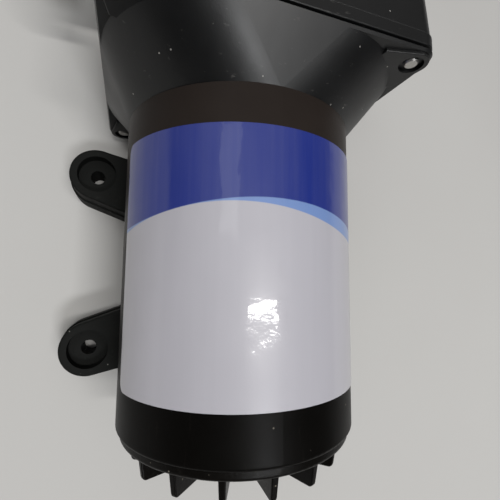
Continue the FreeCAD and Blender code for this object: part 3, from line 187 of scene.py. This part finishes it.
class Finish(Graph):
    # the node material of one surface; scales are per metre, depths in metres, and the keywords of a
    # new one are inputs of its shader, with _ for a space

    def __init__(self, name, **shader):
        self.material = bpy.data.materials.new(name)
        self.material.use_nodes = True
        super().__init__(self.material.node_tree)
        self.shader = self.nodes["Principled BSDF"]
        for key, value in shader.items():
            self.shader.inputs[key.replace("_", " ")].default_value = value
        self.place = self.nodes.new("ShaderNodeTexCoord").outputs["Object"]

    def axes(self):
        return self.add("SeparateXYZ", {"Vector": self.place}).outputs

    def stretched(self, scale):
        return self.add("Mapping", {"Vector": self.place, "Scale": scale}).outputs["Vector"]

    def noise(self, scale, detail=3.0, rough=0.55, place=None):
        inputs = {"Vector": place or self.place, "Scale": scale, "Detail": detail, "Roughness": rough}
        return self.add("TexNoise", inputs).outputs["Fac"]

    def vary(self, noise, low, high):
        # a number between low and high that follows a noise
        return self.spread(noise, noise_low, noise_high, low, high)

    def stain(self, color, cover, tone, start, full, share):
        # tone over color where cover is above start, by share where it is above full
        return self.blend(self.spread(cover, start, full, 0.0, share), color, tone)

    def relief(self, height, depth, under=None):
        inputs = {"Height": height, "Distance": depth, "Strength": 1.0}
        if under is not None:
            inputs["Normal"] = under
        return self.add("Bump", inputs).outputs["Normal"]

    def specks(self, scale, size, share):
        # 1 inside small scattered specks of dust, 0 elsewhere; share is how many cells hold one
        cells = self.add("TexVoronoi", {"Vector": self.place, "Scale": scale}, feature="F1").outputs
        inside = self.spread(cells["Distance"], size * speck_core, size, 1.0, 0.0)
        draw = self.add("SeparateColor", {"Color": cells["Color"]}).outputs[0]
        return self.calc("MULTIPLY", inside, self.calc("LESS_THAN", draw, share))

    def set(self, color, roughness, normal):
        for key, value in (("Base Color", color), ("Roughness", roughness), ("Normal", normal)):
            self.feed(self.shader.inputs[key], value)
        return self.material


def painted_can():
    # matt black paint with a painted lighter, browner tone towards the head that stands in for the light on the
    # can's front band, a fine tooth, faint rub marks and a little dust
    f = Finish("can_paint", Specular_IOR_Level=0.05)
    tooth = f.noise(2600.0, detail=4.0, rough=0.6)
    patches = f.noise(55.0, detail=4.0, rough=0.6)
    rubs = f.noise(900.0, rough=0.7, place=f.stretched((1.0, 0.06, 1.0)))
    # painted light: from black at the rear to a lighter brown at the head, in place of the brighter light on the
    # can's front
    painted_light_towards_head = f.spread(f.axes()["Y"], label_low.y, label_high.y)
    color = f.blend(painted_light_towards_head, f.blend(patches, *can_black), f.blend(patches, *can_painted_light))
    color = f.stain(color, rubs, paint_rub, start=0.64, full=0.8, share=0.3)
    color = f.blend(f.specks(420.0, size=0.11, share=0.07), color, paint_dust)
    normal = f.relief(tooth, 0.000015)
    normal = f.relief(patches, 0.0001, normal)
    return f.set(color, f.vary(patches, 0.32, 0.42), normal)


def cast_cap():
    # painted casting with a coarse grain, a dull bloom and a little dust
    f = Finish("cap_paint", Specular_IOR_Level=0.1)
    grain = f.noise(1500.0, detail=5.0, rough=0.7)
    patches = f.noise(90.0, detail=4.0, rough=0.6)
    bloom = f.noise(260.0, detail=5.0, rough=0.7)
    color = f.blend(patches, *cap_black)
    color = f.stain(color, bloom, cap_bloom, start=0.58, full=0.75, share=0.35)
    color = f.blend(f.specks(520.0, size=0.12, share=0.1), color, paint_dust)
    return f.set(color, f.vary(grain, 0.3, 0.42), f.relief(grain, 0.00006))


def moulded(name, low, high, roughness, grain=3200.0, depth=0.00003, dust=0.1, dust_color=plastic_dust,
            shine=0.5):
    # moulded plastic with a fine spark grain, slow changes of tone and some dust
    f = Finish(name, Specular_IOR_Level=shine)
    tooth = f.noise(grain, detail=2.0, rough=0.5)
    flow = f.noise(45.0, rough=0.5)
    scuff = f.noise(700.0, rough=0.7, place=f.stretched((0.3, 1.0, 0.8)))
    color = f.blend(flow, low, high)
    color = f.stain(color, scuff, dust_color, start=0.66, full=0.8, share=0.25)
    color = f.blend(f.specks(380.0, size=0.1, share=dust), color, dust_color)
    normal = f.relief(tooth, depth)
    normal = f.relief(flow, 0.00015, normal)
    return f.set(color, f.vary(flow, roughness - 0.05, roughness + 0.07), normal)


def rubber(name, low, high, roughness):
    # matt rubber with a dry bloom and small pits
    f = Finish(name, Specular_IOR_Level=0.14)
    patches = f.noise(130.0, detail=5.0, rough=0.65)
    grain = f.noise(2200.0, detail=4.0, rough=0.65)
    bloom = f.noise(420.0, detail=4.0, rough=0.7)
    pits = f.specks(900.0, size=0.2, share=0.2)
    color = f.blend(patches, low, high)
    color = f.stain(color, bloom, rubber_bloom, start=0.6, full=0.78, share=0.25)
    color = f.blend(f.specks(460.0, size=0.1, share=0.1), color, plastic_dust)
    normal = f.relief(grain, 0.00006)
    normal = f.relief(pits, -0.00008, normal)
    return f.set(color, f.vary(patches, roughness - 0.06, roughness + 0.08), normal)


def bright_metal(name, low, high, roughness, stretch=(1.0, 1.0, 1.0), scale=700.0, spots=None):
    # bare or plated metal, with tool marks along one direction and dull patches
    f = Finish(name, Metallic=1.0)
    marks = f.noise(scale, detail=4.0, rough=0.6, place=f.stretched(stretch))
    patches = f.noise(160.0, detail=4.0, rough=0.6)
    color = f.blend(patches, low, high)
    if spots is not None:
        color = f.stain(color, f.noise(900.0, detail=4.0, rough=0.7), spots, start=0.6, full=0.7, share=1.0)
    return f.set(color, f.vary(marks, roughness - 0.07, roughness + 0.1), f.relief(marks, 0.00002))


def laminated_core():
    # stack of thin steel sheets, seen as fine rings around the axis
    f = Finish("core_steel", Metallic=1.0)
    sheet = f.calc("SINE", f.calc("MULTIPLY", f.axes()["Y"], 2 * math.pi / core_sheet))
    tone = f.noise(240.0, detail=4.0, rough=0.6)
    return f.set(f.blend(tone, *core_grey), f.vary(tone, 0.35, 0.5), f.relief(sheet, 0.00003))


def copper_wire():
    # close turns of enamelled wire
    f = Finish("copper_wire", Metallic=1.0, Coat_Weight=0.4, Coat_Roughness=0.15)
    wire = f.noise(1500.0, detail=2.0, rough=0.5, place=f.stretched((1.0, 0.12, 1.0)))
    tone = f.noise(220.0, rough=0.6)
    return f.set(f.blend(tone, *wire_copper), f.vary(tone, 0.28, 0.42), f.relief(wire, 0.0002))


def wrapped_label():
    # glossy film: a blue band with a waved edge over a bare pale field
    f = Finish("label_film", Specular_IOR_Level=0.3, Coat_Weight=0.55, Coat_Roughness=0.07, Coat_IOR=1.5)
    axes = f.axes()
    around = f.calc("ARCTAN2", axes["X"], f.calc("SUBTRACT", axes["Z"], axis_height))

    def ahead_of(offset, height, phase):
        # 1 on the head's side of a waved line across the can, 0 behind it
        swing = f.calc("SINE", f.calc("MULTIPLY_ADD", around, wave_turns, phase))
        line = f.calc("MULTIPLY_ADD", swing, height, offset)
        return f.spread(f.calc("SUBTRACT", axes["Y"], line), -print_blur, print_blur)

    ink = f.noise(5200.0, detail=2.0, rough=0.5)
    drift = f.noise(26.0, detail=2.0, rough=0.5)
    streaks = f.noise(420.0, rough=0.6, place=f.stretched((1.0, 0.03, 1.0)))
    field = f.blend(drift, *label_field)
    stripe = f.blend(ink, *label_stripe)
    blue = f.stain(f.blend(drift, *label_blue), ink, light_ink, start=0.4, full=0.8, share=0.25)
    color = f.blend(ahead_of(stripe_offset, stripe_height, stripe_phase), field, stripe)
    color = f.blend(ahead_of(wave_offset, wave_height, wave_phase), color, blue)
    color = f.stain(color, streaks, film_streak, start=0.35, full=0.75, share=0.06)
    roughness = f.spread(f.noise(50.0, detail=2.0, rough=0.5), 0.2, 0.8, 0.29, 0.4)
    swell = f.relief(f.noise(60.0, detail=2.0, rough=0.4), 0.0005)
    fibre = f.noise(2400.0, detail=2.0, rough=0.5)
    f.feed(f.shader.inputs["Coat Normal"], f.relief(f.noise(210.0, rough=0.5), 0.00008, swell))
    return f.set(color, roughness, f.relief(fibre, 0.00001, swell))


finishes = {
    "can_paint": painted_can(),
    "cap_paint": cast_cap(),
    "label_film": wrapped_label(),
    "foot_rubber": rubber("foot_rubber", (0.0048, 0.0051, 0.0046), (0.0105, 0.0111, 0.0102), 0.72),
    "seal_rubber": rubber("seal_rubber", (0.01, 0.01, 0.01), (0.022, 0.022, 0.022), 0.62),
    "zinc_steel": bright_metal("zinc_steel", (0.42, 0.41, 0.38), (0.6, 0.59, 0.56), 0.36,
                               stretch=(0.1, 1.0, 1.0), spots=(0.3, 0.28, 0.24)),
    "saddle_paint": moulded("saddle_paint", (0.015, 0.013, 0.011), (0.026, 0.023, 0.019), 0.45),
    "screw_steel": bright_metal("screw_steel", (0.4, 0.39, 0.37), (0.55, 0.54, 0.52), 0.38,
                                scale=1600.0, spots=(0.22, 0.17, 0.12)),
    "bearing_steel": bright_metal("bearing_steel", (0.6, 0.6, 0.61), (0.72, 0.72, 0.73), 0.16),
    "shaft_steel": bright_metal("shaft_steel", (0.5, 0.5, 0.51), (0.64, 0.64, 0.65), 0.22,
                                stretch=(1.0, 8.0, 1.0)),
    "core_steel": laminated_core(),
    "copper_wire": copper_wire(),
    "commutator_copper": bright_metal("commutator_copper", (0.55, 0.24, 0.12), (0.72, 0.36, 0.2), 0.26,
                                      stretch=(1.0, 6.0, 1.0), spots=(0.12, 0.08, 0.06)),
    "ferrite": moulded("ferrite", (0.02, 0.02, 0.022), (0.045, 0.045, 0.048), 0.6,
                       grain=1200.0, depth=0.0001),
    "phenolic": moulded("phenolic", (0.12, 0.055, 0.022), (0.2, 0.095, 0.04), 0.5),
    "holder_brass": bright_metal("holder_brass", (0.55, 0.42, 0.17), (0.7, 0.55, 0.25), 0.3),
    "carbon": moulded("carbon", (0.008, 0.008, 0.009), (0.02, 0.02, 0.022), 0.5,
                      grain=1800.0, depth=0.00006),
    "spring_steel": bright_metal("spring_steel", (0.5, 0.5, 0.52), (0.66, 0.66, 0.68), 0.24),
    "cam_metal": bright_metal("cam_metal", (0.45, 0.46, 0.48), (0.6, 0.61, 0.63), 0.4, scale=420.0),
    "pump_plastic": moulded("pump_plastic", (0.0035, 0.0036, 0.0038), (0.0065, 0.0067, 0.0072), 0.4,
                            depth=0.00001, dust=0.12, shine=0.4),
    "inner_plastic": moulded("inner_plastic", (0.36, 0.33, 0.27), (0.46, 0.43, 0.36), 0.45,
                             dust=0.0, dust_color=(0.5, 0.47, 0.4)),
    "clip_plastic": moulded("clip_plastic", (0.008, 0.009, 0.011), (0.015, 0.017, 0.02), 0.4),
    "switch_plastic": moulded("switch_plastic", (0.005, 0.005, 0.0055), (0.01, 0.01, 0.011), 0.42),
    "button_plastic": moulded("button_plastic", (0.3, 0.02, 0.015), (0.42, 0.035, 0.025), 0.3, dust=0.0),
    "adjuster_metal": bright_metal("adjuster_metal", (0.5, 0.37, 0.15), (0.66, 0.5, 0.22), 0.3),
}

for node, obj in frame["nodes"].items():
    obj.data.materials.clear()
    obj.data.materials.append(finishes[slot_of[node]])


def shown(name, data):
    # a new object of the scene
    obj = bpy.data.objects.new(name, data)
    bpy.context.scene.collection.objects.link(obj)
    return obj


def aim(obj, right, up, back, place):
    # turn the object's own X, Y and Z to three directions, and put it at a place
    rows = [(right[i], up[i], back[i], place[i]) for i in range(3)]
    obj.matrix_world = Matrix(rows + [(0, 0, 0, 1)])


def pressed_spring(node):
    # stands in for a spring: a copy of it on the housing's body, with a mesh of its own, while the spring itself
    # is hidden
    obj = frame["nodes"][node].copy()
    obj.name = node + "_coil"
    bpy.context.scene.collection.objects.link(obj)
    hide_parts(node)
    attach(obj, "housing")
    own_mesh(obj)


def floor():
    # pale plain floor, larger than any view
    mesh = bpy.data.meshes.new("floor")
    corners = [(-floor_half, -floor_half, 0), (floor_half, -floor_half, 0),
               (floor_half, floor_half, 0), (-floor_half, floor_half, 0)]
    mesh.from_pydata(corners, [], [(0, 1, 2, 3)])
    obj = shown("floor", mesh)
    f = Finish("floor", Specular_IOR_Level=0.0)
    tone = f.noise(7.0, rough=0.5)
    # far from the pump, what is seen of the floor, also in reflections, turns into the plain backdrop
    away = f.add("VectorMath", {0: f.place}, operation="LENGTH").outputs["Value"]
    far = f.spread(away, fade_start, fade_end, curve="SMOOTHSTEP")
    far = f.calc("MULTIPLY", far, f.seen_background(mirrored=1.0))
    color = f.blend(far, f.blend(tone, *floor_grey), black)
    f.feed(f.shader.inputs["Emission Color"], backdrop_color)
    f.feed(f.shader.inputs["Emission Strength"], f.calc("MULTIPLY", far, backdrop_strength))
    mesh.materials.append(f.set(color, f.vary(tone, 0.5, 0.6), f.relief(f.noise(500.0), 0.00005)))


def room():
    # a dim room, darker on the side where the photographer stood, in front of the plain backdrop
    world = bpy.data.worlds.new("studio")
    world.use_nodes = True
    g = Graph(world.node_tree)
    place = g.add("TexCoord").outputs["Generated"]
    towards = g.add("VectorMath", {0: place, 1: bright_side}, operation="DOT_PRODUCT").outputs["Value"]
    shade = g.spread(towards, dark_edge, 1.0, room_dark, room_bright, curve="SMOOTHSTEP")
    height = g.add("SeparateXYZ", {"Vector": place}).outputs["Z"]
    horizon = g.spread(height, 0.0, horizon_top, 1.0, 0.0, curve="SMOOTHSTEP")
    plain = g.seen_background(mirrored=horizon)
    background = g.nodes["Background"].inputs
    g.feed(background["Color"], backdrop_color)
    g.feed(background["Strength"], g.blend(plain, shade, backdrop_strength, kind="FLOAT"))
    bpy.context.scene.world = world


def lamp(name, place, size, power, color):
    # rectangle that faces the pump, its width level
    data = bpy.data.lights.new(name, "AREA")
    data.shape = "RECTANGLE"
    data.size, data.size_y = size
    data.energy = power
    data.color = color
    back = (Vector(place) - Vector((0, 0, axis_height))).normalized()
    right = Vector((0, 1, 0)).cross(back).normalized()
    aim(shown(name, data), right, back.cross(right), back, place)


def camera():
    data = bpy.data.cameras.new("camera")
    data.sensor_width = camera_sensor
    data.lens = camera_lens
    data.clip_start = camera_nearest
    data.clip_end = camera_farthest
    obj = shown("camera", data)
    aim(obj, camera_right, camera_up, camera_back, camera_place)
    bpy.context.scene.camera = obj


pressed_spring("switch_spring")
pressed_spring("check_spring")
floor()
room()
for name, values in lamps.items():
    lamp(name, *values)
camera()
bpy.context.scene.view_settings.view_transform = "Standard"
